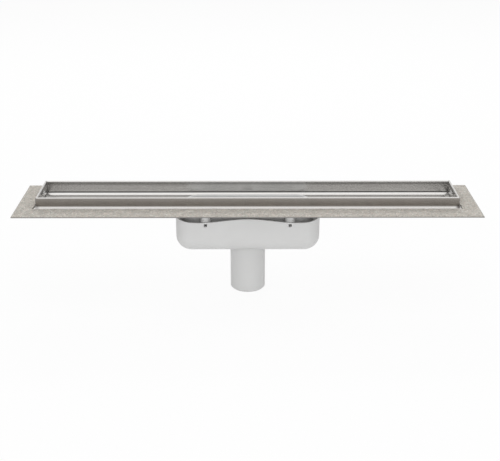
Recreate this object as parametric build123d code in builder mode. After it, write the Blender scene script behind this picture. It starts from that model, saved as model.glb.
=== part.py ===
"""Linear shower drain: a folded channel with a sand-coated flange over a moulded water trap.

Millimetres, +Z up, X along the channel. The origin is the centre of the spigot's lower end.
"""

import os
from math import copysign

from build123d import *

os.makedirs("parts", exist_ok=True)

# Channel, folded from one sheet
sheet = 1.2
channel_length = 585.0  # over the outer skins of the walls
channel_width = 73.6
rim_height = 15.1  # rim above the flange
floor_drop = 4.1  # channel's floor below the flange
hem_gap = 0.3  # between the two skins of a wall
foot_radius = 3.5  # visible bend where a wall meets the flange or the floor
flange_front = 35.0  # flange beyond the walls, wider at the front
flange_back = 21.5
flange_end = 27.5
floor_ledge = 6.6  # flat floor between the bend and the outlet
outlet_length = 170.0
outlet_corner = 16.0
collar_depth = 14.0  # collar below the floor
collar_roll = 1.2  # rounding where the floor turns down into the collar

# Sand coat on the flange
coat_thickness = 1.0
coat_setback = 4.5  # bare strip beside the walls
coat_edge = 0.6  # bare edge of the flange

# Lugs that a cover lies on
rest_width = 12.0
rest_reach = 3.2
rest_drop = 4.5  # lug's top below the rim
rest_foot_gap = 0.5  # lug above the end of the floor bend
rest_sheet = 1.2
rest_bend = 1.4

# Trap tub and spigot
trap_depth = 62.4  # underside of the tub below the flange
trap_wall = 2.5
trap_corner = 22.0
trap_round = 20.0  # rounding along the bottom edge
spigot_diameter = 50.0
spigot_length = 72.1
spigot_wall = 3.0
spigot_lead = 2.0  # lead-in chamfer on the spigot's end
rim_dip = 16.5  # wavy edge below the flange, at the studs
rim_hump = 11.2  # in the middle
rim_end = 13.0  # at the ends

# Trap deck, welded into the tub
deck_drop = 27.5  # top of the deck below the flange
deck_thickness = 2.5
weld_gap = 0.15
weld_ledge = 1.5
weld_ledge_height = 3.0
mouth_wall = 2.5
mouth_gap = 0.5  # mouth ring below the channel's floor
moat = 6.1  # between the mouth ring and the tub's end wall
seal_ledge = 2.5  # thickness of the ledge under the seal
boss_radius = 7.3
boss_drop = 14.7  # boss top below the flange

# Mouth seal
seal_thickness = 3.0  # room between the collar and the mouth ring
seal_height = 8.0
seal_fit = 0.1
seal_back = 1.2  # solid back of the lip seal
lip_height = 1.2
lip_count = 3
collar_clear = 0.5  # collar to the ledge under the seal

# Studs and nuts
stud_diameter = 4.0
stud_length = 25.0
stud_spacing = 116.6
stud_edge = 1.0  # stud axis beyond the end of the foot bend
stud_clear = 0.25
stud_point = 0.6
nut_flats = 7.0
nut_height = 3.2
nut_drop = 19.0  # nut's upper face, which lifts the boss, below the flange
nut_fit = 0.25
nut_thread_gap = 0.1
window_width = 4.4  # windows in the tub's wall, too small for a nut to leave by
window_height = 4.4
window_corner = 0.8

# Standpipe and its ring
pipe_clear = 2.7  # standpipe to the cup over it
pipe_wall = 2.0
pipe_drop = 24.0  # overflow edge below the channel's floor
plug_depth = 14.0
plug_wall = 4.5  # leaves enough behind the ring's groove
plug_fit = 0.3
lip_overlap = 3.0  # lip beyond the spigot's bore
lip_thickness = 2.0
ring_section = 2.4  # square-cut ring
ring_fit = 0.05

# Dip cup over the standpipe
cup_length = 100.0
cup_clear = 1.5  # cup to the collar it is lifted out through
cup_flat = 6.0  # straight stretch of the cup's ends
cup_wall = 1.8
cup_slope = 4.0  # chamfer round the roof
cup_drop = 15.0  # roof below the channel's floor
cup_foot = 4.0  # rim above the floor of the tub
foot_size = 6.0
grip_length = 36.0
grip_height = 5.0
grip_thickness = 3.0
grip_slot_length = 22.0
grip_slot_height = 2.6

# Hair sieve in the outlet
sieve_lap = 2.2  # rim of the sieve on the floor
sieve_rim = 1.4
sieve_fit = 0.8
sieve_wall = 1.6
sieve_depth = 7.5  # underside below the floor
slot_width = 3.2
slot_length = 15.0
slot_pitch = 7.6
slot_spine = 6.0  # solid strip between the two rows of slots
finger_diameter = 18.0

# Worked-out levels and widths
flange_z = trap_depth + spigot_length
floor_z = flange_z - floor_drop
floor_under = floor_z - sheet
flange_length = channel_length + 2 * flange_end
flange_width = flange_front + channel_width + flange_back
flange_y = (flange_back - flange_front) / 2
bare_length = channel_length + 2 * coat_setback
bare_width = channel_width + 2 * coat_setback
rim_width = 2 * sheet + hem_gap
outlet_width = channel_width - 2 * (rim_width + foot_radius + floor_ledge)
collar_length = outlet_length + 2 * sheet
collar_width = outlet_width + 2 * sheet
collar_corner = outlet_corner + sheet
mouth_top = floor_under - mouth_gap
ledge_top = mouth_top - seal_height
deck_top = flange_z - deck_drop
deck_under = deck_top - deck_thickness
boss_top = flange_z - boss_drop
stud_x = stud_spacing / 2
stud_y = channel_width / 2 + foot_radius + stud_edge
nut_top = flange_z - nut_drop
nut_middle = nut_top - nut_height / 2
pocket_height = nut_height + nut_fit
pocket_width = nut_flats + 2 * nut_fit
tub_under = spigot_length
tub_floor = tub_under + trap_wall
tub_length = collar_length + 2 * (seal_thickness + mouth_wall + moat)
tub_width = 2 * (stud_y + boss_radius + weld_gap)
tub_corner = trap_corner - trap_wall
bore_radius = spigot_diameter / 2 - spigot_wall
cup_width = outlet_width - 2 * cup_clear
cup_corner = (cup_width - cup_flat) / 2

# Section of the folded sheet, measured outwards from a wall's outer skin and up from the flange
rim_radius = rim_width / 2
wall_straight = rim_height - rim_radius - foot_radius
with BuildSketch() as folded_section:
    with BuildLine():
        flange = Line((coat_setback, 0), (foot_radius, 0))
        outer_foot = JernArc(flange @ 1, flange % 1, foot_radius, -90)
        outer_wall = Line(outer_foot @ 1, outer_foot @ 1 + Vector(0, wall_straight))
        rim = JernArc(outer_wall @ 1, outer_wall % 1, rim_radius, 180)
        inner_wall = Line(rim @ 1, rim @ 1 - Vector(0, wall_straight + floor_drop))
        inner_foot = JernArc(inner_wall @ 1, inner_wall % 1, foot_radius, -90)
        Line(inner_foot @ 1, (-channel_width / 2, -floor_drop))
        offset(amount=sheet, side=Side.LEFT)
    make_face()

# A quarter of the channel is half a long side and half a short side that meet at a mitre
mitre = Plane(origin=(channel_length / 2, channel_width / 2, 0), z_dir=(1, -1, 0))

with BuildPart() as long_side:
    with BuildSketch(Plane((0, channel_width / 2, flange_z), x_dir=(0, 1, 0), z_dir=(1, 0, 0))):
        add(folded_section.sketch)
    extrude(amount=bare_length / 2)
    split(bisect_by=mitre, keep=Keep.BOTTOM)

with BuildPart() as short_side:
    with BuildSketch(Plane((channel_length / 2, 0, flange_z), x_dir=(1, 0, 0), z_dir=(0, -1, 0))):
        add(folded_section.sketch)
    extrude(amount=-bare_width / 2)
    split(bisect_by=mitre, keep=Keep.TOP)

with BuildPart() as channel:
    add(long_side.part)
    add(short_side.part)
    mirror(about=Plane.XZ)
    mirror(about=Plane.YZ)
    with BuildSketch(Plane.XY.offset(flange_z)):
        with Locations((0, flange_y)):
            Rectangle(flange_length, flange_width)
        Rectangle(bare_length, bare_width, mode=Mode.SUBTRACT)
    extrude(amount=-sheet)
    with BuildSketch(Plane.XY.offset(floor_z)):
        RectangleRounded(collar_length, collar_width, collar_corner)
    extrude(amount=-collar_depth)
    with BuildSketch(Plane.XY.offset(floor_z)):
        RectangleRounded(outlet_length, outlet_width, outlet_corner)
    extrude(amount=-collar_depth, mode=Mode.SUBTRACT)
    mouth_edges = channel.edges().filter_by_position(Axis.Z, floor_z, floor_z)
    mouth_edges = mouth_edges.filter_by_position(Axis.X, -outlet_length / 2, outlet_length / 2)
    mouth_edges = mouth_edges.filter_by_position(Axis.Y, -outlet_width / 2, outlet_width / 2)
    fillet(mouth_edges, collar_roll)
channel.part.label = "channel"
export_step(channel.part, "parts/channel.step")

with BuildPart() as flange_grit_coat:
    with BuildSketch(Plane.XY.offset(flange_z)):
        with Locations((0, flange_y)):
            Rectangle(flange_length - 2 * coat_edge, flange_width - 2 * coat_edge)
        Rectangle(bare_length, bare_width, mode=Mode.SUBTRACT)
    extrude(amount=coat_thickness)
flange_grit_coat.part.label = "flange_grit_coat"
export_step(flange_grit_coat.part, "parts/flange_grit_coat.step")

# Each lug is a bent strip on the inner skin of an end wall
end_wall = channel_length / 2 - rim_width
rest_top = flange_z + rim_height - rest_drop
rest_leg = rim_height + floor_drop - rest_drop - foot_radius - rest_foot_gap
with BuildPart() as cover_rest_right:
    with BuildSketch(Plane((end_wall, 0, rest_top), x_dir=(1, 0, 0), z_dir=(0, -1, 0))):
        with BuildLine():
            FilletPolyline((-rest_reach, 0), (0, 0), (0, -rest_leg), radius=rest_bend)
            offset(amount=rest_sheet, side=Side.RIGHT)
        make_face()
    extrude(amount=rest_width / 2, both=True)
cover_rest_right.part.label = "cover_rest_right"
export_step(cover_rest_right.part, "parts/cover_rest_right.step")

with BuildPart() as cover_rest_left:
    add(cover_rest_right.part)
    mirror(about=Plane.YZ, mode=Mode.REPLACE)
cover_rest_left.part.label = "cover_rest_left"
export_step(cover_rest_left.part, "parts/cover_rest_left.step")

# Moulded tub with its spigot
trap_length = tub_length + 2 * trap_wall
trap_width = tub_width + 2 * trap_wall
rim_top = flange_z - min(rim_hump, rim_end)
with BuildPart() as trap_tub:
    with BuildSketch(Plane.XY.offset(tub_under)):
        RectangleRounded(trap_length, trap_width, trap_corner)
    extrude(amount=rim_top - tub_under)
    fillet(trap_tub.faces().sort_by(Axis.Z)[0].edges(), trap_round)
    offset(amount=-trap_wall, openings=trap_tub.faces().sort_by(Axis.Z)[-1])
    with BuildSketch(Plane.XY.offset(deck_under)):
        RectangleRounded(tub_length, tub_width, tub_corner)
        offset(amount=-weld_ledge, mode=Mode.SUBTRACT)
    extrude(amount=-weld_ledge_height)
    with BuildSketch():
        Circle(spigot_diameter / 2)
    extrude(amount=tub_floor)
    chamfer(trap_tub.faces().sort_by(Axis.Z)[0].edges(), spigot_lead)
    with BuildSketch():
        Circle(bore_radius)
    extrude(amount=tub_floor, mode=Mode.SUBTRACT)
    with BuildSketch(Plane.XZ.offset(-trap_width / 2)):
        with BuildLine():
            wave = Spline(
                (-trap_length / 2, flange_z - rim_end),
                (-stud_x, flange_z - rim_dip),
                (0, flange_z - rim_hump),
                (stud_x, flange_z - rim_dip),
                (trap_length / 2, flange_z - rim_end),
            )
            Polyline(wave @ 1, (trap_length / 2, flange_z), (-trap_length / 2, flange_z), wave @ 0)
        make_face()
    extrude(amount=trap_width, mode=Mode.SUBTRACT)
    with BuildSketch(Plane.XZ.offset(-trap_width / 2)):
        with Locations((-stud_x, nut_middle), (stud_x, nut_middle)):
            RectangleRounded(window_width, window_height, window_corner)
    extrude(amount=trap_width, mode=Mode.SUBTRACT)
trap_tub.part.label = "trap_tub"
export_step(trap_tub.part, "parts/trap_tub.step")

# Deck with the mouth ring, the ledge under the seal and the four bosses
seat_length = collar_length + 2 * seal_thickness
seat_width = collar_width + 2 * seal_thickness
seat_corner = collar_corner + seal_thickness
stud_places = [(-stud_x, -stud_y), (stud_x, -stud_y), (-stud_x, stud_y), (stud_x, stud_y)]
with BuildPart() as trap_deck:
    with BuildSketch(Plane.XY.offset(deck_under)):
        RectangleRounded(tub_length - 2 * weld_gap, tub_width - 2 * weld_gap, tub_corner - weld_gap)
    extrude(amount=deck_thickness)
    with BuildSketch(Plane.XY.offset(deck_under)):
        RectangleRounded(
            seat_length + 2 * mouth_wall, seat_width + 2 * mouth_wall, seat_corner + mouth_wall
        )
    extrude(amount=mouth_top - deck_under)
    with BuildSketch(Plane.XY.offset(ledge_top)):
        RectangleRounded(seat_length, seat_width, seat_corner)
    extrude(amount=seal_height, mode=Mode.SUBTRACT)
    with BuildSketch(Plane.XY.offset(deck_under)):
        RectangleRounded(seat_length, seat_width, seat_corner)
    extrude(amount=ledge_top - seal_ledge - deck_under, mode=Mode.SUBTRACT)
    with BuildSketch(Plane.XY.offset(ledge_top)):
        RectangleRounded(
            collar_length + 2 * collar_clear,
            collar_width + 2 * collar_clear,
            collar_corner + collar_clear,
        )
    extrude(amount=-seal_ledge, mode=Mode.SUBTRACT)
    with BuildSketch(Plane.XY.offset(boss_top)):
        with Locations(stud_places):
            Circle(boss_radius)
    extrude(amount=deck_top - boss_top)
    with BuildSketch(Plane.XY.offset(boss_top)):
        with Locations(stud_places):
            Circle(stud_diameter / 2 + stud_clear)
    extrude(amount=deck_top - boss_top, mode=Mode.SUBTRACT)
    with BuildSketch(Plane.XY.offset(nut_top)):
        with Locations(stud_places):
            RegularPolygon(pocket_width / 2, side_count=6, major_radius=False, rotation=30)
        for x, y in stud_places:
            with Locations((x, y + copysign(boss_radius / 2, y))):
                Rectangle(pocket_width, boss_radius)
    extrude(amount=-pocket_height, mode=Mode.SUBTRACT)
trap_deck.part.label = "trap_deck"
export_step(trap_deck.part, "parts/trap_deck.step")

# Studs welded under the flange, and the nuts that draw the trap up to it
with BuildPart() as trap_studs:
    with BuildSketch(Plane.XY.offset(flange_z - sheet)):
        with Locations(stud_places):
            Circle(stud_diameter / 2)
    extrude(amount=-stud_length)
    chamfer(trap_studs.edges().group_by(Axis.Z)[0], stud_point)
trap_studs.part.label = "trap_studs"
export_step(trap_studs.part, "parts/trap_studs.step")

with BuildPart() as trap_nuts:
    with BuildSketch(Plane.XY.offset(nut_top)):
        with Locations(stud_places):
            RegularPolygon(nut_flats / 2, side_count=6, major_radius=False, rotation=30)
            Circle(stud_diameter / 2 + nut_thread_gap, mode=Mode.SUBTRACT)
    extrude(amount=-nut_height)
trap_nuts.part.label = "trap_nuts"
export_step(trap_nuts.part, "parts/trap_nuts.step")

# Lip seal: a solid back with lips that reach the collar
with BuildPart() as mouth_seal:
    with BuildSketch(Plane.XY.offset(ledge_top)):
        RectangleRounded(seat_length - 2 * seal_fit, seat_width - 2 * seal_fit, seat_corner - seal_fit)
        offset(amount=-seal_back, mode=Mode.SUBTRACT)
    extrude(amount=seal_height)
    lip_pitch = (seal_height - lip_height) / (lip_count - 1)
    for lip in range(lip_count):
        with BuildSketch(Plane.XY.offset(ledge_top + lip * lip_pitch)):
            RectangleRounded(seat_length - 2 * seal_fit, seat_width - 2 * seal_fit, seat_corner - seal_fit)
            RectangleRounded(
                collar_length + 2 * seal_fit,
                collar_width + 2 * seal_fit,
                collar_corner + seal_fit,
                mode=Mode.SUBTRACT,
            )
        extrude(amount=lip_height)
mouth_seal.part.label = "mouth_seal"
export_step(mouth_seal.part, "parts/mouth_seal.step")

# Standpipe: overflow pipe, lip on the tub's floor and a plug with a ring groove
pipe_top = floor_z - pipe_drop
pipe_radius = cup_width / 2 - cup_wall - pipe_clear
pipe_bore = pipe_radius - pipe_wall
plug_radius = bore_radius - plug_fit
plug_bore = plug_radius - plug_wall
ring_z = tub_floor - plug_depth / 2
ring_centre = bore_radius - ring_fit - ring_section / 2
with BuildPart() as standpipe:
    with BuildSketch(Plane.XZ):
        with BuildLine():
            Polyline(
                (pipe_bore, pipe_top),
                (pipe_radius, pipe_top),
                (pipe_radius, tub_floor + lip_thickness),
                (bore_radius + lip_overlap, tub_floor + lip_thickness),
                (bore_radius + lip_overlap, tub_floor),
                (plug_radius, tub_floor),
                (plug_radius, tub_floor - plug_depth),
                (plug_bore, tub_floor - plug_depth),
                (plug_bore, tub_floor),
                (pipe_bore, tub_floor),
                close=True,
            )
        make_face()
        with Locations((plug_radius, ring_z)):
            Rectangle(
                2 * (plug_radius - ring_centre) + ring_section + 2 * ring_fit,
                ring_section + 2 * ring_fit,
                mode=Mode.SUBTRACT,
            )
    revolve(axis=Axis.Z)
standpipe.part.label = "standpipe"
export_step(standpipe.part, "parts/standpipe.step")

with BuildPart() as standpipe_ring:
    with BuildSketch(Plane.XZ):
        with Locations((ring_centre, ring_z)):
            Rectangle(ring_section, ring_section)
    revolve(axis=Axis.Z)
standpipe_ring.part.label = "standpipe_ring"
export_step(standpipe_ring.part, "parts/standpipe_ring.step")

# Dip cup: an upturned cup on four feet, with a slotted grip on its roof
cup_top = floor_z - cup_drop
cup_rim = tub_floor + cup_foot
with BuildPart() as dip_cup:
    with BuildSketch(Plane.XY.offset(cup_rim)):
        RectangleRounded(cup_length, cup_width, cup_corner)
    extrude(amount=cup_top - cup_rim)
    chamfer(dip_cup.faces().sort_by(Axis.Z)[-1].edges(), cup_slope)
    offset(amount=-cup_wall, openings=dip_cup.faces().sort_by(Axis.Z)[0])
    with BuildSketch(Plane.XY.offset(tub_floor)):
        with GridLocations(cup_length - 2 * cup_corner, cup_width - cup_wall, 2, 2):
            Rectangle(foot_size, cup_wall)
    extrude(amount=cup_foot)
    with BuildSketch(Plane.XZ):
        with Locations((0, cup_top + grip_height / 2)):
            RectangleRounded(grip_length, grip_height, grip_height / 3)
            SlotOverall(grip_slot_length, grip_slot_height, mode=Mode.SUBTRACT)
    extrude(amount=grip_thickness / 2, both=True)
dip_cup.part.label = "dip_cup"
export_step(dip_cup.part, "parts/dip_cup.step")

# Hair sieve: a shallow slotted tray whose rim lies on the channel's floor
tray_length = outlet_length - 2 * sieve_fit
tray_width = outlet_width - 2 * sieve_fit
tray_corner = outlet_corner - sieve_fit
slot_columns = int((outlet_length - 2 * outlet_corner) / slot_pitch)
slot_row = (slot_spine + slot_length) / 2
slot_places = []
for column in range(slot_columns):
    slot_x = (column - (slot_columns - 1) / 2) * slot_pitch
    if abs(slot_x) > finger_diameter / 2 + slot_width:
        slot_places += [(slot_x, slot_row), (slot_x, -slot_row)]
with BuildPart() as hair_sieve:
    with BuildSketch(Plane.XY.offset(floor_z)):
        RectangleRounded(
            outlet_length + 2 * sieve_lap, outlet_width + 2 * sieve_lap, outlet_corner + sieve_lap
        )
    extrude(amount=sieve_rim)
    with BuildSketch(Plane.XY.offset(floor_z)):
        RectangleRounded(tray_length, tray_width, tray_corner)
    extrude(amount=-sieve_depth)
    with BuildSketch(Plane.XY.offset(floor_z + sieve_rim)):
        RectangleRounded(
            tray_length - 2 * sieve_wall, tray_width - 2 * sieve_wall, tray_corner - sieve_wall
        )
    extrude(amount=-(sieve_rim + sieve_depth - sieve_wall), mode=Mode.SUBTRACT)
    with BuildSketch(Plane.XY.offset(floor_z - sieve_depth)):
        with Locations(slot_places):
            Rectangle(slot_width, slot_length)
        Circle(finger_diameter / 2)
    extrude(amount=sieve_wall, mode=Mode.SUBTRACT)
hair_sieve.part.label = "hair_sieve"
export_step(hair_sieve.part, "parts/hair_sieve.step")
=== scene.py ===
"""Studio scene of a linear shower drain: a folded steel channel over a moulded water trap.

Metres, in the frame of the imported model: X along the channel, Z up, origin under the outlet spigot.
"""

import functools
import itertools
import logging
import math
import random
from collections.abc import Iterable
from dataclasses import dataclass, field
from enum import Enum

import bpy
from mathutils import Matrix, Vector, noise
from mathutils.kdtree import KDTree


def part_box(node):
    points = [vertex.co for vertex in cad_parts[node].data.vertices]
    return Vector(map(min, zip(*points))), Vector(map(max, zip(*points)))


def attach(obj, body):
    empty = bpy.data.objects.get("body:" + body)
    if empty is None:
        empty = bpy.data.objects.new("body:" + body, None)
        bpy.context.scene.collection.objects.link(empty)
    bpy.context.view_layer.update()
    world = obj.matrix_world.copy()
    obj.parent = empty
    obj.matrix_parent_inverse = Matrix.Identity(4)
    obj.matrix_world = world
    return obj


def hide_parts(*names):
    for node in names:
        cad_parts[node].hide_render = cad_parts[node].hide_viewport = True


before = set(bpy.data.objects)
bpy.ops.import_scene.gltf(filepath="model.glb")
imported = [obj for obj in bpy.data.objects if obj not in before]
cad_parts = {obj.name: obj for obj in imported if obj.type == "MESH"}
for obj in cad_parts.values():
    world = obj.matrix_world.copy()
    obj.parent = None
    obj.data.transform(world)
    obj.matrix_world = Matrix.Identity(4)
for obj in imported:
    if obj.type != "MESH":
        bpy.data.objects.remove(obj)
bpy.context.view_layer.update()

log = logging.getLogger("shower_drain")

Colour = tuple[float, float, float]
Point = tuple[float, float, float]
Span = tuple[float, float]
Face = tuple[int, ...]
Shape = tuple[list[Point], list[Face]]
Cell = tuple[int, int]
Node = bpy.types.Node
NodeTree = bpy.types.NodeTree
Material = bpy.types.Material
Socket = bpy.types.NodeSocket
Source = Socket | float | tuple

MM = 0.001
FULL_TURN = 2.0 * math.pi
RISE: Span = (0.0, 1.0)
FALL: Span = (1.0, 0.0)
STUD_RADIUS = 2.0 * MM


class Effect(Enum):
    """Surface effects that several finishes share, each one a shader node group."""

    DRAWN_GRAIN = "Drawn Grain"
    SOFT_MOTTLE = "Soft Mottle"
    FINE_PITTING = "Fine Pitting"


class Slot(Enum):
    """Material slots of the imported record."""

    STAINLESS = "stainless"
    GRIT = "grit"
    TRAP_PLASTIC = "trap_plastic"
    FASTENER_STEEL = "fastener_steel"


class Mixture(Enum):
    """What a Mix node mixes: its data type and the ending of its sockets' names."""

    COLOUR = ("RGBA", "Color")
    VECTOR = ("VECTOR", "Vector")


def opaque(colour: Colour) -> tuple[float, float, float, float]:
    """Return a colour with full alpha."""
    return (*colour, 1.0)


@dataclass
class Wiring:
    """Short calls that add and join nodes in one node tree."""

    tree: NodeTree

    def add(self, kind: str, **settings: object) -> Node:
        """Add a node.

        Args:
            kind: Node type name.
            settings: Attributes to set on the node.

        Returns:
            The new node.
        """
        node = self.tree.nodes.new(kind)
        for name, value in settings.items():
            setattr(node, name, value)
        return node

    def feed(self, socket: Socket, source: Source) -> None:
        """Link a socket into an input, or set the input's own value.

        Args:
            socket: Input to feed.
            source: Output socket, number or tuple.
        """
        if isinstance(source, Socket):
            self.tree.links.new(source, socket)
        else:
            socket.default_value = source

    def fill(self, node: Node, values: Iterable[Source]) -> Socket:
        """Feed a node's inputs in order.

        Args:
            node: Node to feed.
            values: A source for each of its first inputs.

        Returns:
            The node's first output.
        """
        for socket, value in zip(node.inputs, values):
            self.feed(socket, value)
        return node.outputs[0]

    def math(self, operation: str, *values: Source) -> Socket:
        """Return the result of a Math node with the values as its inputs."""
        return self.fill(self.add("ShaderNodeMath", operation=operation), values)

    def product(self, *values: Source) -> Source:
        """Return the product of the values."""
        return functools.reduce(functools.partial(self.math, "MULTIPLY"), values)

    def apart(self, value: Source, centre: float) -> Socket:
        """Return how far a value is from a centre."""
        return self.math("ABSOLUTE", self.math("SUBTRACT", value, centre))

    def split(self, vector: Source) -> dict[str, Socket]:
        """Split a vector.

        Args:
            vector: Vector to split.

        Returns:
            Its values by the names of the axes.
        """
        node = self.add("ShaderNodeSeparateXYZ")
        self.feed(node.inputs[0], vector)
        return {socket.name: socket for socket in node.outputs}

    def combine(self, *values: Source) -> Socket:
        """Return the vector of the values along X, Y and Z."""
        return self.fill(self.add("ShaderNodeCombineXYZ"), values)

    def remap(self, value: Source, span: Span, out: Span) -> Socket:
        """Return a value mapped from the span it is expected in to another, and clamped there."""
        return self.fill(self.add("ShaderNodeMapRange"), (value, *span, *out))

    def mix(self, kind: Mixture, factor: Source, first: Source, second: Source) -> Socket:
        """Mix two colours or vectors.

        Args:
            kind: What is mixed.
            factor: Share of the second.
            first: First colour or vector.
            second: Second colour or vector.

        Returns:
            The mixture.
        """
        data_type, ending = kind.value
        node = self.add("ShaderNodeMix", data_type=data_type)
        sockets = {socket.identifier: socket for socket in (*node.inputs, *node.outputs)}
        self.feed(sockets["Factor_Float"], factor)
        self.feed(sockets[f"A_{ending}"], first)
        self.feed(sockets[f"B_{ending}"], second)
        return sockets[f"Result_{ending}"]

    def blend(self, factor: Source, first: Socket | Colour, second: Socket | Colour) -> Socket:
        """Return a mixture of two colours, each one a socket or a plain colour."""
        ends = [opaque(end) if isinstance(end, tuple) else end for end in (first, second)]
        return self.mix(Mixture.COLOUR, factor, *ends)

    def noise(self, vector: Source, scale: Source, detail: float = 2.0) -> Socket:
        """Add a noise texture.

        Args:
            vector: Coordinates.
            scale: Scale of the noise.
            detail: Octaves.

        Returns:
            The noise value.
        """
        node = self.add("ShaderNodeTexNoise")
        node.inputs["Detail"].default_value = detail
        self.feed(node.inputs["Scale"], scale)
        self.feed(node.inputs["Vector"], vector)
        return node.outputs["Fac"]


@dataclass
class EffectLibrary:
    """Builds each shared effect once and places it in the materials that ask for it."""

    fine_scale: float = 1.0
    fine_detail: float = 3.0
    broad_scale: float = 0.17
    broad_detail: float = 1.0
    broad_share: float = 0.45
    streak_span: Span = (0.34, 0.66)
    cloud_span: Span = (0.32, 0.68)
    groups: dict[Effect, NodeTree] = field(default_factory=dict, init=False)

    def __post_init__(self) -> None:
        """Build the three groups."""
        self.drawn_grain()
        self.even_noise(Effect.SOFT_MOTTLE, {"Scale": 20.0}, "Mottle", self.cloud_span)
        self.even_noise(Effect.FINE_PITTING, {"Scale": 900.0}, "Height", RISE)

    def start(self, effect: Effect, numbers: dict[str, float], output: str) -> tuple[Wiring, Node, Node]:
        """Open a new group with its sockets.

        Args:
            effect: Effect that names the group.
            numbers: Number inputs with their usual values.
            output: Name of the one output value.

        Returns:
            The group's wiring, its input node and its output node.
        """
        tree = self.groups[effect] = bpy.data.node_groups.new(effect.value, "ShaderNodeTree")
        tree.interface.new_socket("Vector", in_out="INPUT", socket_type="NodeSocketVector")
        for name, value in numbers.items():
            socket = tree.interface.new_socket(name, in_out="INPUT", socket_type="NodeSocketFloat")
            socket.default_value = value
        tree.interface.new_socket(output, in_out="OUTPUT", socket_type="NodeSocketFloat")
        wiring = Wiring(tree)
        return wiring, wiring.add("NodeGroupInput"), wiring.add("NodeGroupOutput")

    def drawn_grain(self) -> None:
        """Build streaks that run along X, as brushing or rolling leaves."""
        usual = {"Along": 12.0, "Across": 1500.0}
        wiring, given, result = self.start(Effect.DRAWN_GRAIN, usual, "Streaks")
        axes = wiring.split(given.outputs["Vector"])
        rates = {"X": "Along", "Y": "Across", "Z": "Across"}
        stretched = wiring.combine(
            *(wiring.math("MULTIPLY", axes[axis], given.outputs[rate]) for axis, rate in rates.items())
        )
        fine = wiring.noise(stretched, self.fine_scale, self.fine_detail)
        broad = wiring.noise(stretched, self.broad_scale, self.broad_detail)
        fine_part = wiring.math("MULTIPLY", fine, 1.0 - self.broad_share)
        streaks = wiring.math("MULTIPLY_ADD", broad, self.broad_share, fine_part)
        wiring.feed(result.inputs["Streaks"], wiring.remap(streaks, self.streak_span, RISE))

    def even_noise(self, effect: Effect, usual: dict[str, float], output: str, span: Span) -> None:
        """Build changes that are alike in every direction: clouds when large, pits when fine.

        Args:
            effect: Effect that names the group.
            usual: Its number input with the usual value.
            output: Name of its output.
            span: Values of the noise that become 0 and 1.
        """
        wiring, given, result = self.start(effect, usual, output)
        value = wiring.noise(given.outputs["Vector"], given.outputs["Scale"])
        wiring.feed(result.inputs[output], wiring.remap(value, span, RISE))

    def place(self, wiring: Wiring, effect: Effect, vector: Source, **numbers: float) -> Socket:
        """Place an effect in a material.

        Args:
            wiring: Wiring of the material.
            effect: Effect to place.
            vector: Coordinates for it.
            numbers: Values of its number inputs.

        Returns:
            The effect's output.
        """
        node = wiring.add("ShaderNodeGroup", node_tree=self.groups[effect])
        wiring.feed(node.inputs["Vector"], vector)
        for name, value in numbers.items():
            node.inputs[name].default_value = value
        return node.outputs[0]


@dataclass(frozen=True)
class Surface:
    """A material in the making: its wiring, its shader and its object coordinates."""

    material: Material
    wiring: Wiring
    shader: Node
    place: Socket

    def give(self, name: str, source: Source) -> None:
        """Feed one of the shader's inputs."""
        self.wiring.feed(self.shader.inputs[name], source)


@dataclass(frozen=True)
class Finish:
    """What every finish has: a name, two tones, a range of roughness, and a relief with its depth."""

    name: str
    light: Colour
    dark: Colour
    smooth: float
    rough: float
    relief: float
    depth: float = 0.05 * MM

    def start(self, metallic: float = 0.0) -> Surface:
        """Open a material with a Principled shader and object coordinates.

        Args:
            metallic: 1 for metal, 0 for the rest.

        Returns:
            The surface to work on.
        """
        material = bpy.data.materials.new(self.name)
        material.use_nodes = True
        wiring = Wiring(material.node_tree)
        shader = next(node for node in material.node_tree.nodes if node.type == "BSDF_PRINCIPLED")
        shader.inputs["Metallic"].default_value = metallic
        return Surface(material, wiring, shader, wiring.add("ShaderNodeTexCoord").outputs["Object"])

    def tone(self, wiring: Wiring, share: Source) -> Socket:
        """Return a tone between the dark and the light one."""
        return wiring.blend(share, self.dark, self.light)

    def polish(self, wiring: Wiring, share: Source) -> Socket:
        """Return a roughness between the smooth and the rough one."""
        return wiring.remap(share, RISE, (self.smooth, self.rough))

    def carve(self, surface: Surface, height: Source, normal: Source | None = None) -> None:
        """Give the surface its relief.

        Args:
            surface: Surface to carve.
            height: Height from 0 to 1.
            normal: Normal that the relief lies on, where it isn't the mesh's own.
        """
        bump = surface.wiring.add("ShaderNodeBump")
        bump.inputs["Strength"].default_value = self.relief
        bump.inputs["Distance"].default_value = self.depth
        surface.wiring.feed(bump.inputs["Height"], height)
        if normal is not None:
            surface.wiring.feed(bump.inputs["Normal"], normal)
        surface.give("Normal", bump.outputs["Normal"])


@dataclass(frozen=True)
class PaintedShadeLine:
    """Line of painted shade on the inner walls."""

    height: float
    width: float
    strength: float

    def fade(self) -> Span:
        """Return where the line starts to fade and where it ends, from its middle."""
        return self.width / 3, self.width * 2 / 3


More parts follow.
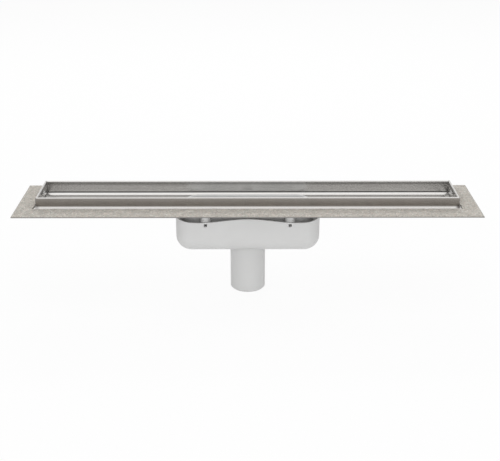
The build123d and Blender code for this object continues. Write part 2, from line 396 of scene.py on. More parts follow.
@dataclass
class SheetMap:
    """Where a point of the channel lies, as values in its material.

    The distances past the end, past the side and past either one count outwards from the walls' outer skins.
    The mitre is above 0 on the short sides, and by_wall falls to 0 on the corners of the flange.
    """

    surface: Surface
    walls: Span
    flange: float
    corner_reach: float
    axes: dict[str, Socket] = field(init=False)
    past_end: Socket = field(init=False)
    past_side: Socket = field(init=False)
    past: Socket = field(init=False)
    mitre: Socket = field(init=False)
    by_wall: Socket = field(init=False)

    def __post_init__(self) -> None:
        """Work out the values from the object coordinates."""
        wiring = self.surface.wiring
        self.axes = wiring.split(self.surface.place)
        outwards = [
            wiring.math("SUBTRACT", wiring.math("ABSOLUTE", self.axes[axis]), wall)
            for axis, wall in zip("XY", self.walls)
        ]
        self.past_end, self.past_side = outwards
        self.past = wiring.math("MAXIMUM", *outwards)
        self.mitre = wiring.math("SUBTRACT", *outwards)
        self.by_wall = wiring.remap(wiring.math("MINIMUM", *outwards), (0.0, self.corner_reach), FALL)


@dataclass(frozen=True)
class BrushedSheet(Finish):
    """Stainless sheet brushed along each side, with painted shade on the walls' outer faces, in lines on the
    inner walls and at the corners' feet, and ground seams at the corners.

    A fade holds the distance up to which an effect is full and the one at which it is gone.
    """

    grain_along: float = 9.0
    grain_across: float = 1400.0
    mottle_scale: float = 14.0
    mottle_share: float = 0.4
    end_reach: float = 6.2 * MM
    seam_fade: Span = (0.3 * MM, 0.9 * MM)
    seam_reach: float = 5.0 * MM
    seam_tone: Colour = (0.30, 0.29, 0.28)
    seam_rough: float = 0.5
    edge_width: float = 0.15 * MM
    # Painted shade: near-black patches in the corners at the walls' feet, stronger towards +X.
    corner_shade_tone: Colour = (0.11, 0.10, 0.095)
    corner_shade_fade: Span = (2.0 * MM, 6.0 * MM)
    corner_shade_height_fade: Span = (3.5 * MM, 7.0 * MM)
    corner_shade_strength: Span = (0.5, 1.0)
    # Painted shade: a darker tone on the walls' outer faces and, weaker, on the steel beyond them, standing
    # in for the dark reflection there.
    outer_shade_tone: Colour = (0.33, 0.31, 0.29)
    outer_shade_fade: Span = (0.125 * MM, 0.5 * MM)
    rim_fade: Span = (0.0625 * MM, 0.25 * MM)
    foot_shade_share: float = 0.3
    # Painted shade: the tone of the dark lines on the inner walls.
    shade_line_tone: Colour = (0.12, 0.117, 0.112)
    wall_width: float = 2.7 * MM
    ease_fade: Span = (5.2 * MM, 7.2 * MM)
    ease_tilt: float = math.radians(33.0)
    ease_height: float = 0.6 * MM

    def streaks(self, effects: EffectLibrary, sheet: SheetMap) -> Socket:
        """Build the brushing, turned on the short sides.

        Args:
            effects: Shared effects.
            sheet: Where the point lies.

        Returns:
            The streaks.
        """
        wiring = sheet.surface.wiring
        by_end = wiring.math("GREATER_THAN", sheet.past_end, -self.end_reach)
        on_end = wiring.product(by_end, wiring.math("GREATER_THAN", sheet.mitre, 0.0))
        turned = wiring.combine(*(sheet.axes[axis] for axis in "YXZ"))
        brushed = wiring.mix(Mixture.VECTOR, on_end, sheet.surface.place, turned)
        rates = {"Along": self.grain_along, "Across": self.grain_across}
        return effects.place(wiring, Effect.DRAWN_GRAIN, brushed, **rates)

    def seams(self, sheet: SheetMap) -> Socket:
        """Mask the ground seams at the corners and the cut edge of the flange.

        Args:
            sheet: Where the point lies.

        Returns:
            The mask.
        """
        wiring = sheet.surface.wiring
        on_wall = wiring.math("LESS_THAN", wiring.math("ABSOLUTE", sheet.past), self.seam_reach)
        joint = wiring.remap(wiring.math("ABSOLUTE", sheet.mitre), self.seam_fade, FALL)
        seam = wiring.product(sheet.by_wall, joint, on_wall)
        low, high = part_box("channel")
        for axis, near, far in (("X", low.x, high.x), ("Y", low.y, high.y)):
            from_middle = wiring.apart(sheet.axes[axis], (near + far) / 2)
            cut = wiring.math("GREATER_THAN", from_middle, (far - near) / 2 - self.edge_width)
            seam = wiring.math("MAXIMUM", seam, cut)
        return seam

    def corner_shade_mask(self, sheet: SheetMap) -> Socket:
        """Mask the painted shade at the corners' feet, stronger towards +X.

        Args:
            sheet: Where the point lies.

        Returns:
            The mask.
        """
        wiring = sheet.surface.wiring
        squares = [wiring.math("MULTIPLY", gap, gap) for gap in (sheet.past_end, sheet.past_side)]
        from_corner = wiring.math("SQRT", wiring.math("ADD", *squares))
        corner_shade_weight = wiring.remap(sheet.axes["X"], (-sheet.walls[0], sheet.walls[0]), self.corner_shade_strength)
        spread = wiring.remap(from_corner, self.corner_shade_fade, FALL)
        low_down = wiring.remap(wiring.apart(sheet.axes["Z"], sheet.flange), self.corner_shade_height_fade, FALL)
        return wiring.product(sheet.by_wall, corner_shade_weight, spread, low_down)

    def outer_shade_mask(self, sheet: SheetMap) -> Socket:
        """Mask the painted shade on the walls' outer faces and, more weakly, on what lies at their feet.

        Args:
            sheet: Where the point lies.

        Returns:
            The mask.
        """
        wiring = sheet.surface.wiring
        to_rim = wiring.remap(wiring.math("MULTIPLY", sheet.past, -1.0), self.rim_fade, FALL)
        to_foot = wiring.remap(sheet.past, self.outer_shade_fade, FALL)
        foot = wiring.remap(sheet.past, (0.0, self.outer_shade_fade[1]), (0.0, self.foot_shade_share))
        return wiring.math("MAXIMUM", wiring.math("MINIMUM", to_rim, to_foot), foot)

    def shade_line_mask(self, sheet: SheetMap, shade_lines: tuple[PaintedShadeLine, ...]) -> Source:
        """Mask the painted shade lines on the inner walls.

        Args:
            sheet: Where the point lies.
            shade_lines: The painted shade lines.

        Returns:
            The mask.
        """
        wiring = sheet.surface.wiring
        lines: Source = 0.0
        for shade_line in shade_lines:
            away = wiring.apart(sheet.axes["Z"], shade_line.height)
            lines = wiring.math("MAXIMUM", lines, wiring.remap(away, shade_line.fade(), (shade_line.strength, 0.0)))
        return wiring.product(lines, wiring.math("LESS_THAN", sheet.past, -self.seam_fade[1]))

    def eased(self, sheet: SheetMap) -> Socket:
        """Lean the shading away from the walls' feet, as a rounder bend would.

        Args:
            sheet: Where the point lies.

        Returns:
            The normal.
        """
        wiring = sheet.surface.wiring
        normal = wiring.add("ShaderNodeNewGeometry").outputs["Normal"]
        facing = wiring.split(normal)
        from_wall = wiring.math("MAXIMUM", sheet.past, wiring.math("SUBTRACT", -self.wall_width, sheet.past))
        lean = wiring.remap(from_wall, self.ease_fade, (math.sin(self.ease_tilt), 0.0))
        outwards = wiring.math("SIGN", sheet.past)
        short = wiring.math("GREATER_THAN", sheet.mitre, 0.0)
        tilt: Source = 0.0
        leaned: list[Source] = []
        for axis, share in (("X", short), ("Y", wiring.math("SUBTRACT", 1.0, short))):
            away = wiring.product(wiring.math("SIGN", sheet.axes[axis]), share, outwards)
            tilt = wiring.math("MULTIPLY_ADD", away, facing[axis], tilt)
            leaned.append(wiring.math("MULTIPLY", away, lean))
        upright = wiring.math("SUBTRACT", 1.0, wiring.math("MULTIPLY", lean, lean))
        leaned.append(wiring.math("SQRT", upright))
        beside_foot = wiring.product(
            wiring.math("GREATER_THAN", lean, wiring.math("MAXIMUM", tilt, 0.0)),
            wiring.math("GREATER_THAN", from_wall, 0.0),
            wiring.math("LESS_THAN", sheet.axes["Z"], sheet.flange + self.ease_height),
            wiring.math("GREATER_THAN", facing["Z"], 0.0),
        )
        return wiring.mix(Mixture.VECTOR, beside_foot, normal, wiring.combine(*leaned))

    def material(
        self, effects: EffectLibrary, walls: Span, flange: float, shade_lines: tuple[PaintedShadeLine, ...]
    ) -> Material:
        """Build the material.

        Args:
            effects: Shared effects.
            walls: Half the channel's length and width over its walls.
            flange: Height of the flange.
            shade_lines: Lines of painted shade on the inner walls.

        Returns:
            The material.
        """
        surface = self.start(metallic=1.0)
        wiring = surface.wiring
        sheet = SheetMap(surface, walls, flange, corner_reach=self.seam_fade[1])
        streaks = self.streaks(effects, sheet)
        mottle = effects.place(wiring, Effect.SOFT_MOTTLE, surface.place, Scale=self.mottle_scale)
        seam = self.seams(sheet)
        tone = self.tone(wiring, streaks)
        # Painted shade on the outer faces, in lines on the inner walls and at the corners' feet; the seams
        # keep their own tone.
        for mask, colour in (
            (self.outer_shade_mask(sheet), self.outer_shade_tone),
            (self.shade_line_mask(sheet, shade_lines), self.shade_line_tone),
            (seam, self.seam_tone),
            (self.corner_shade_mask(sheet), self.corner_shade_tone),
        ):
            tone = wiring.blend(mask, tone, colour)
        surface.give("Base Color", tone)
        streak_part = wiring.math("MULTIPLY", streaks, 1.0 - self.mottle_share)
        drag = wiring.math("MULTIPLY_ADD", mottle, self.mottle_share, streak_part)
        seam_extra = wiring.math("MULTIPLY", seam, self.seam_rough - self.rough)
        surface.give("Roughness", wiring.math("ADD", self.polish(wiring, drag), seam_extra))
        self.carve(surface, streaks, self.eased(sheet))
        return surface.material


@dataclass(frozen=True)
class PlatedSteel(Finish):
    """Bright fastener steel with faint marks round the thread."""

    depth: float = 0.03 * MM
    marks_along: float = 300.0
    marks_across: float = 2600.0
    cloud_scale: float = 160.0

    def material(self, effects: EffectLibrary) -> Material:
        """Build the material.

        Args:
            effects: Shared effects.

        Returns:
            The material.
        """
        surface = self.start(metallic=1.0)
        wiring = surface.wiring
        rates = {"Along": self.marks_along, "Across": self.marks_across}
        streaks = effects.place(wiring, Effect.DRAWN_GRAIN, surface.place, **rates)
        mottle = effects.place(wiring, Effect.SOFT_MOTTLE, surface.place, Scale=self.cloud_scale)
        surface.give("Base Color", self.tone(wiring, mottle))
        surface.give("Roughness", self.polish(wiring, streaks))
        self.carve(surface, streaks)
        return surface.material


@dataclass(frozen=True)
class MouldedSkin(Finish):
    """Moulded plastic or rubber: slow changes of tone and a fine skin."""

    depth: float = 0.04 * MM
    cloud_scale: float = 16.0
    skin_scale: float = 1400.0

    def material(self, effects: EffectLibrary) -> Material:
        """Build the material.

        Args:
            effects: Shared effects.

        Returns:
            The material.
        """
        surface = self.start()
        wiring = surface.wiring
        mottle = effects.place(wiring, Effect.SOFT_MOTTLE, surface.place, Scale=self.cloud_scale)
        skin = effects.place(wiring, Effect.FINE_PITTING, surface.place, Scale=self.skin_scale)
        surface.give("Base Color", self.tone(wiring, mottle))
        surface.give("Roughness", self.polish(wiring, mottle))
        self.carve(surface, skin)
        return surface.material


@dataclass(frozen=True)
class BondedSand(Finish):
    """Sand grains of several tones in a clear binder."""

    depth: float = 0.35 * MM
    grain_scale: float = 820.0
    dome_span: Span = (0.1, 0.7)
    # Share of painted shade between the grains.
    crevice_shade_share: float = 0.2
    tone_starts: tuple[float, ...] = (0.0, 0.12, 0.36, 0.68, 0.88)
    slate: Colour = (0.47, 0.475, 0.455)
    rose: Colour = (0.64, 0.545, 0.49)
    chalk: Colour = (0.86, 0.84, 0.80)
    olive: Colour = (0.52, 0.555, 0.46)
    patch_scale: float = 170.0
    patch_share: float = 0.3
    clump_scale: float = 130.0
    clump_share: float = 0.34
    grit_scale: float = 4200.0
    grit_share: float = 0.25

    def grain_tones(self, wiring: Wiring, draw: Socket) -> Socket:
        """Give each grain one of the sand's tones.

        Args:
            wiring: Wiring of the material.
            draw: Number that differs from grain to grain.

        Returns:
            The tone.
        """
        node = wiring.add("ShaderNodeValToRGB")
        ramp = node.color_ramp
        ramp.interpolation = "CONSTANT"
        tones = (self.dark, self.slate, self.light, self.rose, self.chalk)
        while len(ramp.elements) < len(tones):
            ramp.elements.new(1.0)
        for element, start, tone in zip(ramp.elements, self.tone_starts, tones):
            element.position = start
            element.color = opaque(tone)
        wiring.feed(node.inputs[0], draw)
        return node.outputs["Color"]

    def material(self, effects: EffectLibrary) -> Material:
        """Build the material.

        Args:
            effects: Shared effects.

        Returns:
            The material.
        """
        surface = self.start()
        wiring = surface.wiring
        cells = wiring.add("ShaderNodeTexVoronoi")
        cells.inputs["Scale"].default_value = self.grain_scale
        wiring.feed(cells.inputs["Vector"], surface.place)
        draws = wiring.add("ShaderNodeSeparateColor")
        wiring.feed(draws.inputs[0], cells.outputs["Color"])
        clumps = effects.place(wiring, Effect.SOFT_MOTTLE, surface.place, Scale=self.clump_scale)
        hue = effects.place(wiring, Effect.SOFT_MOTTLE, surface.place, Scale=self.patch_scale)
        grit = effects.place(wiring, Effect.FINE_PITTING, surface.place, Scale=self.grit_scale)
        patches = wiring.blend(hue, self.rose, self.olive)
        grains = wiring.blend(self.patch_share, self.grain_tones(wiring, draws.outputs[0]), patches)
        # Painted shade between the grains: the colour darkens where the domes fall away; the clumps add the
        # sand's own darker patches.
        dome = wiring.remap(cells.outputs["Distance"], self.dome_span, FALL)
        crevice_shade = wiring.math("MULTIPLY", wiring.math("SUBTRACT", 1.0, dome), self.crevice_shade_share)
        clumps_and_crevice_shade = wiring.math("MULTIPLY_ADD", clumps, self.clump_share, crevice_shade)
        surface.give("Base Color", wiring.blend(clumps_and_crevice_shade, grains, self.dark))
        surface.give("Roughness", self.polish(wiring, draws.outputs[1]))
        self.carve(surface, wiring.math("MULTIPLY_ADD", grit, self.grit_share, dome))
        return surface.material


def around(x: float, y: float, z: float, radius: float, turn: float) -> Point:
    """Return the point at a radius and an angle, in turns, round an upright axis."""
    angle = FULL_TURN * turn
    return x + radius * math.cos(angle), y + radius * math.sin(angle), z


def tube_faces(rings: int, sides: int) -> list[Face]:
    """Join rings of points into a closed tube.

    Args:
        rings: Number of rings, in order along the tube.
        sides: Points in each ring.

    Returns:
        The faces, with both ends closed.
    """
    faces: list[Face] = []
    for ring in range(rings - 1):
        low = ring * sides
        high = low + sides
        for side in range(sides):
            after = (side + 1) % sides
            faces.append((low + side, low + after, high + after, high + side))
    faces.append(tuple(reversed(range(sides))))
    faces.append(tuple(range((rings - 1) * sides, rings * sides)))
    return faces


def join(shapes: Iterable[Shape]) -> Shape:
    """Join closed shapes into one.

    Args:
        shapes: Points and faces of each shape.

    Returns:
        The points and faces of all of them.
    """
    points: list[Point] = []
    faces: list[Face] = []
    for more_points, more_faces in shapes:
        faces += [tuple(index + len(points) for index in face) for face in more_faces]
        points += more_points
    return points, faces


def stud_places() -> list[tuple[float, float]]:
    """Return where the axes of the four studs stand, in X and Y.

    Returns:
        The places.
    """
    low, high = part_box("trap_studs")
    across = (low.y + STUD_RADIUS, high.y - STUD_RADIUS)
    return [(x, y) for x in (low.x + STUD_RADIUS, high.x - STUD_RADIUS) for y in across]


def new_object(name: str, shape: Shape) -> bpy.types.Object:
    """Make a smooth mesh object in the scene.

    Args:
        name: Name of the object.
        shape: Its points in metres and its faces.

    Returns:
        The object.
    """
    points, faces = shape
    mesh = bpy.data.meshes.new(name)
    mesh.from_pydata(points, [], faces)
    mesh.shade_smooth()
    mesh.update()
    item = bpy.data.objects.new(name, mesh)
    bpy.context.scene.collection.objects.link(item)
    return item


def dress_nodes(material: Material, *nodes: str) -> None:
    """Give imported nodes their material.

    Args:
        material: Material for them.
        nodes: Names of the nodes.
    """
    for node in nodes:
        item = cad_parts[node]
        if not item.material_slots:
            item.data.materials.append(material)
        for place in item.material_slots:
            place.material = material
        log.info("dressed %s with %s", node, material.name)


def mount_piece(item: bpy.types.Object, material: Material, slot: Slot, *nodes: str) -> None:
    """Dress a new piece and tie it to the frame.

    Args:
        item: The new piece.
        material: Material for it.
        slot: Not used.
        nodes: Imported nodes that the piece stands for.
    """
    item.data.materials.append(material)
    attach(item, "root")
    if nodes:
        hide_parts(*nodes)
    log.info("built %s, %d faces", item.name, len(item.data.polygons))


@dataclass
class Channel:
    """Folded channel with its two lugs and the welds that hold them."""

    effects: EffectLibrary
    finish: BrushedSheet = BrushedSheet(
        "brushed_stainless", light=(0.67, 0.66, 0.645), dark=(0.585, 0.575, 0.56), smooth=0.21, rough=0.30,
        relief=0.03,
    )
    walls: Span = (292.5 * MM, 36.8 * MM)
    # Painted shade lines on the inner walls: one along the top of the floor's bend, a fainter one just below
    # the rim.
    shade_lines: tuple[PaintedShadeLine, ...] = (
        PaintedShadeLine(height=132.9 * MM, width=1.8 * MM, strength=1.0),
        PaintedShadeLine(height=145.9 * MM, width=3.2 * MM, strength=0.45),
    )
    lugs: tuple[str, ...] = ("cover_rest_left", "cover_rest_right")
    bead_radius: float = 0.8 * MM
    bead_inset: float = 0.6 * MM
    bead_rise: float = 0.62
    bead_tip: float = 0.15
    bead_bluntness: int = 4
    bead_ripple: float = 0.12
    ripples: int = 4
    bead_rings: int = 13
    bead_sides: int = 10

    def bead(self, foot: Vector, length: float) -> Shape:
        """Make one upright weld bead with rippled sides and closed ends.

        Args:
            foot: Lower end of the bead.
            length: Its length.

        Returns:
            Its points and faces.
        """
        points: list[Point] = []
        for ring in range(self.bead_rings):
            share = ring / (self.bead_rings - 1)
            swell = math.sqrt(max(0.0, 1.0 - (2.0 * share - 1.0) ** self.bead_bluntness))
            wave = 1.0 + self.bead_ripple * math.sin(FULL_TURN * self.ripples * share)
            radius = self.bead_radius * max(self.bead_tip, swell * wave)
            for side in range(self.bead_sides):
                points.append(around(foot.x, foot.y, foot.z + length * share, radius, side / self.bead_sides))
        return points, tube_faces(self.bead_rings, self.bead_sides)

    def build(self) -> None:
        """Dress the channel and the lugs, and weld the lugs in."""
        steel = self.finish.material(self.effects, self.walls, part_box("flange_grit_coat")[0].z, self.shade_lines)
        dress_nodes(steel, "channel", *self.lugs)
        for lug in self.lugs:
            low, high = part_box(lug)
            wall = high.x if high.x > 0.0 else low.x
            x = wall - math.copysign(self.bead_inset, wall)
            length = (high.z - low.z) * self.bead_rise
            beads = [self.bead(Vector((x, y, low.z)), length) for y in (low.y, high.y)]
            mount_piece(new_object(lug + "_weld", join(beads)), steel, Slot.STAINLESS)


@dataclass
class FlangeSand:
    """Sand bonded to the flange, as a bed of domed grains with a torn inner edge."""

    effects: EffectLibrary
    finish: BondedSand = BondedSand(
        "bonded_sand", light=(0.60, 0.57, 0.51), dark=(0.27, 0.25, 0.225), smooth=0.50, rough=0.95, relief=0.6
    )
    bare: Span = (296.3 * MM, 40.6 * MM)
    pitch: float = 0.92 * MM
    drift: float = 0.3
    grain_spacing: float = 1.35 * MM
    grain_reach: float = 1.05 * MM
    grain_height: float = 0.58 * MM
    swell_span: Span = (0.35, 1.0)
    binder: float = 0.18 * MM
    edge_share: float = 0.6
    torn: float = 0.9 * MM
    torn_depth: float = 4.0 * MM
    torn_rate: float = 160.0
    seed: int = 11
    low: Vector = field(init=False)
    high: Vector = field(init=False)
    rng: random.Random = field(init=False)
    grains: KDTree = field(init=False)
    swells: list[float] = field(init=False)
    columns: list[float] = field(init=False)
    rows: list[float] = field(init=False)
    kept: set[Cell] = field(default_factory=set, init=False)
    points: list[Point] = field(default_factory=list, init=False)
    numbers: dict[Cell, int] = field(default_factory=dict, init=False)

    def scatter(self) -> None:
        """Scatter the grains over the flange."""
        columns = int((self.high.x - self.low.x) / self.grain_spacing) + 1
        rows = int((self.high.y - self.low.y) / self.grain_spacing) + 1
        spots: list[Point] = []
        for column, row in itertools.product(range(columns), range(rows)):
            x = self.low.x + (column + self.rng.random()) * self.grain_spacing
            y = self.low.y + (row + self.rng.random()) * self.grain_spacing
            if abs(x) > self.bare[0] - 2 * self.torn or abs(y) > self.bare[1] - 2 * self.torn:
                spots.append((x, y, 0.0))
        self.grains = KDTree(len(spots))
        for index, spot in enumerate(spots):
            self.grains.insert(spot, index)
        self.grains.balance()
        self.swells = [self.rng.uniform(*self.swell_span) for _ in spots]

    def height(self, x: float, y: float) -> float:
        """Work out the height of the bed.

        Args:
            x: Place along the flange.
            y: Place across it.

        Returns:
            The height above the steel.
        """
        _, index, distance = self.grains.find((x, y, 0.0))
        dome = max(0.0, 1.0 - (distance / self.grain_reach) ** 2)
        return self.binder + self.grain_height * self.swells[index] * math.sqrt(dome)

    def lines(self, axis: int) -> list[float]:
        """Space grid lines across the flange, with a line on each edge of the bare rectangle.

        Args:
            axis: 0 for places along X, 1 along Y.

        Returns:
            Places of the lines.
        """
        knots = (self.low[axis], -self.bare[axis], self.bare[axis], self.high[axis])
        places = [knots[0]]
        for start, stop in zip(knots, knots[1:]):
            count = round((stop - start) / self.pitch)
            places += [start + (stop - start) * (index + 1) / count for index in range(count)]
        return places

    def lay_out(self) -> None:
        """Lay the grid and keep its cells outside the bare rectangle."""
        self.columns = self.lines(axis=0)
        self.rows = self.lines(axis=1)
        for column, row in itertools.product(range(len(self.columns) - 1), range(len(self.rows) - 1)):
            past_x = abs(self.columns[column] + self.columns[column + 1]) / 2 - self.bare[0]
            past_y = abs(self.rows[row] + self.rows[row + 1]) / 2 - self.bare[1]
            if max(past_x, past_y) > 0.0:
                self.kept.add((column, row))

    def tear(self, x: float, y: float) -> tuple[float, float]:
        """Move a place with the torn inner edge, less the further it is from the edge.

        Args:
            x: Place along the flange.
            y: Place across it.

        Returns:
            The moved place.
        """
        past_x = abs(x) - self.bare[0]
        past_y = abs(y) - self.bare[1]
        wave = noise.noise((x * self.torn_rate, y * self.torn_rate, 0.0))
        lean = self.torn * wave * max(0.0, 1.0 - max(past_x, past_y) / self.torn_depth)
        if past_x > past_y:
            return x + math.copysign(1.0, x) * lean, y
        return x, y + math.copysign(1.0, y) * lean

    def corner(self, column: int, row: int) -> int:
        """Look up a corner of the grid, adding its upper and lower point the first time.

        Args:
            column: Number of its place along X.
            row: Number of its place along Y.

        Returns:
            The number of its upper point.
        """
        if (column, row) not in self.numbers:
            x, y = self.columns[column], self.rows[row]
            if 0 < column < len(self.columns) - 1 and 0 < row < len(self.rows) - 1:
                reach = self.drift * self.pitch
                x, y = self.tear(x + self.rng.uniform(-reach, reach), y + self.rng.uniform(-reach, reach))
            cells = itertools.product((column - 1, column), (row - 1, row))
            share = 1.0 if all(cell in self.kept for cell in cells) else self.edge_share
            self.numbers[column, row] = len(self.points)
            self.points.append((x, y, self.low.z + self.height(x, y) * share))
            self.points.append((x, y, self.low.z))
        return self.numbers[column, row]

    def build(self) -> None:
        """Build the bed as a closed mesh that stands for the plain coat."""
        self.low, self.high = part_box("flange_grit_coat")
        self.rng = random.Random(self.seed)
        self.scatter()
        self.lay_out()
        faces: list[Face] = []
        for column, row in sorted(self.kept):
            places = ((column, row), (column + 1, row), (column + 1, row + 1), (column, row + 1))
            ring = [self.corner(*place) for place in places]
            faces.append(tuple(ring))
            faces.append(tuple(index + 1 for index in reversed(ring)))
            beyond = ((column, row - 1), (column + 1, row), (column, row + 1), (column - 1, row))
            for side, neighbour in enumerate(beyond):
                if neighbour not in self.kept:
                    first, second = ring[side], ring[(side + 1) % len(ring)]
                    faces.append((first, first + 1, second + 1, second))
        bed = new_object("flange_sand", (self.points, faces))
        mount_piece(bed, self.finish.material(self.effects), Slot.GRIT, "flange_grit_coat")


@dataclass
class TrapBody:
    """Moulded tub with its spigot, the deck that is welded into it, and the collars on the deck's bosses."""

    effects: EffectLibrary
    finish: MouldedSkin = MouldedSkin(
        "trap_grey", light=(0.66, 0.66, 0.655), dark=(0.63, 0.63, 0.625), smooth=0.34, rough=0.42, relief=0.06
    )
    nodes: tuple[str, ...] = ("trap_tub", "trap_deck")
    boss_top: float = 119.8 * MM
    collar_top: float = 127.0 * MM
    collar_radius: float = 6.6 * MM
    collar_bore: float = 2.25 * MM
    collar_edge: float = 0.5 * MM
    collar_sides: int = 64
    crease: float = math.radians(30.0)

    def collar(self, x: float, y: float) -> Shape:
        """Turn the collar that stands on one boss, round its stud.

        Args:
            x: Place of the stud along the channel.
            y: Place of the stud across it.

        Returns:
            Its points and faces.
        """
        section = (
            (self.collar_bore, self.boss_top),
            (self.collar_radius, self.boss_top),
            (self.collar_radius, self.collar_top - self.collar_edge),
            (self.collar_radius - self.collar_edge, self.collar_top),
            (self.collar_bore, self.collar_top),
        )
        count = len(section)
        points: list[Point] = []
        faces: list[Face] = []
        for side in range(self.collar_sides):
            turn = side / self.collar_sides
            points += [around(x, y, height, radius, turn) for radius, height in section]
            here = side * count
            after = (side + 1) % self.collar_sides * count
            for step in range(count):
                following = (step + 1) % count
                faces.append((here + step, after + step, after + following, here + following))
        return points, faces

    def build(self) -> None:
        """Dress the tub and the deck, and raise the bosses."""
        grey = self.finish.material(self.effects)
        dress_nodes(grey, *self.nodes)
        collars = new_object("boss_collars", join(self.collar(x, y) for x, y in stud_places()))
        collars.data.set_sharp_from_angle(angle=self.crease)
        mount_piece(collars, grey, Slot.TRAP_PLASTIC)


@dataclass
class TrapInserts:
    """Pieces that lift out of the trap: sieve, dip cup and standpipe, and the two seals."""

    effects: EffectLibrary
    plastic: MouldedSkin = MouldedSkin(
        "insert_grey", light=(0.70, 0.70, 0.695), dark=(0.66, 0.66, 0.655), smooth=0.36, rough=0.46,
        relief=0.06, cloud_scale=24.0,
    )
    rubber: MouldedSkin = MouldedSkin(
        "seal_black", light=(0.030, 0.030, 0.031), dark=(0.020, 0.020, 0.021), smooth=0.55, rough=0.72,
        relief=0.20, cloud_scale=60.0, skin_scale=2200.0,
    )
    moulded: tuple[str, ...] = ("standpipe", "dip_cup", "hair_sieve")
    seals: tuple[str, ...] = ("mouth_seal", "standpipe_ring")

    def build(self) -> None:
        """Dress the inserts and the seals."""
        dress_nodes(self.plastic.material(self.effects), *self.moulded)
        dress_nodes(self.rubber.material(self.effects), *self.seals)


@dataclass
class TrapFasteners:
    """Threaded studs under the flange and the nuts that lift the trap."""

    effects: EffectLibrary
    finish: PlatedSteel = PlatedSteel(
        "bright_steel", light=(0.72, 0.72, 0.73), dark=(0.60, 0.60, 0.61), smooth=0.18, rough=0.34,
        relief=0.12,
    )
    thread_pitch: float = 0.7 * MM
    thread_depth: float = 0.36 * MM
    plain_length: float = 2.2 * MM
    point_length: float = 0.6 * MM
    weld_flare: float = 0.7 * MM
    weld_height: float = 0.8 * MM
    rows_per_turn: int = 6
    sides: int = 24

    def outline(self, drop: float, turn: float, length: float) -> float:
        """Work out a stud's radius at a height and angle.

        Args:
            drop: Distance below the weld.
            turn: Angle round the stud, in turns.
            length: Whole length of the stud.

        Returns:
            The radius.
        """
        if drop < self.weld_height:
            return STUD_RADIUS + self.weld_flare * (1.0 - drop / self.weld_height) ** 2
        if drop < self.plain_length:
            return STUD_RADIUS
        phase = (drop / self.thread_pitch + turn) % 1.0
        groove = self.thread_depth * abs(2.0 * phase - 1.0)
        point = max(0.0, self.point_length - (length - drop))
        return STUD_RADIUS - max(groove, point)

    def stud(self, x: float, y: float, top: float, length: float) -> Shape:
        """Make one stud, from its lower end up.

        Args:
            x: Place along the channel.
            y: Place across it.
            top: Height of the welded end.
            length: Length of the stud.

        Returns:
            Its points and faces.
        """
        rings = round(length / self.thread_pitch * self.rows_per_turn) + 1
        points: list[Point] = []
        for ring in range(rings):
            drop = length * (1.0 - ring / (rings - 1))
            for side in range(self.sides):
                turn = side / self.sides
                points.append(around(x, y, top - drop, self.outline(drop, turn, length), turn))
        return points, tube_faces(rings, self.sides)

    def build(self) -> None:
        """Build the threaded studs and dress the nuts."""
        steel = self.finish.material(self.effects)
        low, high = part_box("trap_studs")
        studs = join(self.stud(x, y, high.z, high.z - low.z) for x, y in stud_places())
        mount_piece(new_object("threaded_studs", studs), steel, Slot.FASTENER_STEEL, "trap_studs")
        dress_nodes(steel, "trap_nuts")


@dataclass(frozen=True)
class SoftLamp:
    """Rectangular lamp that faces the drain."""

    name: str
    size: Span
    place: Point
    power: float
    mirrored: bool = False

    def hang(self) -> None:
        """Hang the lamp in the scene."""
        lamp = bpy.data.lights.new(self.name, "AREA")
        lamp.shape = "RECTANGLE"
        lamp.size, lamp.size_y = self.size
        lamp.energy = self.power
        item = bpy.data.objects.new(self.name, lamp)
        item.location = self.place
        item.rotation_euler = Vector(self.place).to_track_quat("Z", "Y").to_euler()
        item.visible_glossy = self.mirrored
        bpy.context.scene.collection.objects.link(item)


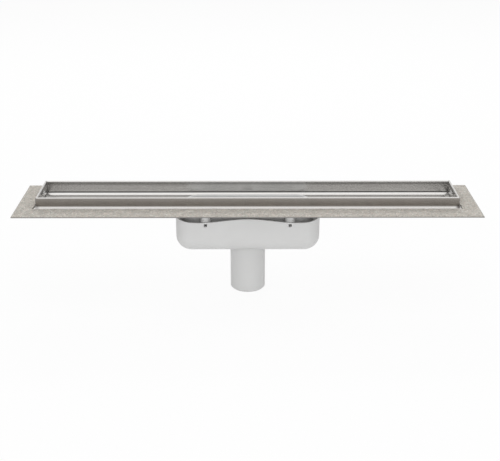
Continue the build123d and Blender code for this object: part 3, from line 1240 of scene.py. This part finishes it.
@dataclass
class Studio:
    """White floor, three soft lamps and the world's light."""

    floor_half: float = 8.0
    floor_tone: Colour = (0.88, 0.88, 0.88)
    floor_glow: float = 0.92
    sky: float = 0.60
    sky_tone: Colour = (1.0, 1.0, 1.0)
    lamps: tuple[SoftLamp, ...] = (
        SoftLamp("overhead", (4.4, 3.0), (0.0, 0.0, 1.75), 17.0, mirrored=True),
        SoftLamp("back_key", (1.8, 0.3), (0.0, 1.9, 1.45), 12.0),
        SoftLamp("front_fill", (2.0, 1.4), (0.0, -2.2, 0.7), 16.0),
    )

    @staticmethod
    def seen_white(wiring: Wiring) -> Socket:
        """Mask the rays that see the background as white.

        Args:
            wiring: Wiring of the floor's material or of the world.

        Returns:
            The mask.
        """
        path = wiring.add("ShaderNodeLightPath")
        seen = wiring.math("MAXIMUM", path.outputs["Is Camera Ray"], path.outputs["Is Glossy Ray"])
        return wiring.math("MAXIMUM", seen, path.outputs["Is Transmission Ray"])

    def floor(self) -> None:
        """Lay the floor, white to the camera and open from below."""
        half = self.floor_half
        edges = [(-half, -half, 0.0), (half, -half, 0.0), (half, half, 0.0), (-half, half, 0.0)]
        plane = new_object("floor", (edges, [(0, 1, 2, 3)]))
        material = bpy.data.materials.new("white_floor")
        material.use_nodes = True
        wiring = Wiring(material.node_tree)
        material.node_tree.nodes.clear()
        matt = wiring.add("ShaderNodeBsdfDiffuse")
        matt.inputs["Color"].default_value = opaque(self.floor_tone)
        glow = wiring.add("ShaderNodeEmission")
        white = wiring.math("MULTIPLY", self.seen_white(wiring), self.floor_glow)
        shown = wiring.fill(wiring.add("ShaderNodeMixShader"), (white, matt.outputs[0], glow.outputs[0]))
        below = wiring.add("ShaderNodeNewGeometry").outputs["Backfacing"]
        clear = wiring.add("ShaderNodeBsdfTransparent").outputs[0]
        sides = wiring.fill(wiring.add("ShaderNodeMixShader"), (below, shown, clear))
        wiring.feed(wiring.add("ShaderNodeOutputMaterial").inputs["Surface"], sides)
        plane.data.materials.append(material)

    def light(self) -> None:
        """Hang the lamps and set the world's light."""
        for lamp in self.lamps:
            lamp.hang()
        world = bpy.data.worlds.new("white_room")
        world.use_nodes = True
        wiring = Wiring(world.node_tree)
        ground = next(node for node in world.node_tree.nodes if node.type == "BACKGROUND")
        ground.inputs["Color"].default_value = opaque(self.sky_tone)
        lift = wiring.math("MULTIPLY_ADD", self.seen_white(wiring), 1.0 - self.sky, self.sky)
        wiring.feed(ground.inputs["Strength"], lift)
        bpy.context.scene.world = world

    def build(self) -> None:
        """Set the stage and the light."""
        self.floor()
        self.light()
        bpy.context.scene.view_settings.view_transform = "Standard"
        log.info("studio set")


@dataclass
class PhotoCamera:
    """Camera at the photograph's place, looking down on the drain."""

    place: Point = (-0.95 * MM, -1317.4 * MM, 615.6 * MM)
    pitch: float = math.radians(21.89)
    heading: float = math.radians(-0.181)
    focal_pixels: float = 989.9
    frame_width: float = 500.0
    sensor: float = 36.0

    def build(self) -> None:
        """Make the camera and use it."""
        lens = bpy.data.cameras.new("photo_camera")
        lens.sensor_fit = "HORIZONTAL"
        lens.sensor_width = self.sensor
        lens.lens = self.focal_pixels / self.frame_width * self.sensor
        item = bpy.data.objects.new("photo_camera", lens)
        item.location = self.place
        item.rotation_euler = (FULL_TURN / 4 - self.pitch, 0.0, self.heading)
        bpy.context.scene.collection.objects.link(item)
        bpy.context.scene.camera = item
        log.info("camera set, lens %.1f mm", lens.lens)


def main() -> None:
    """Build the sub-assemblies, the studio and the camera."""
    logging.basicConfig(level=logging.INFO, format="%(name)s: %(message)s")
    effects = EffectLibrary()
    PhotoCamera().build()
    for assembly in (Channel, FlangeSand, TrapBody, TrapInserts, TrapFasteners):
        assembly(effects).build()
    Studio().build()


if __name__ == "__main__":
    main()
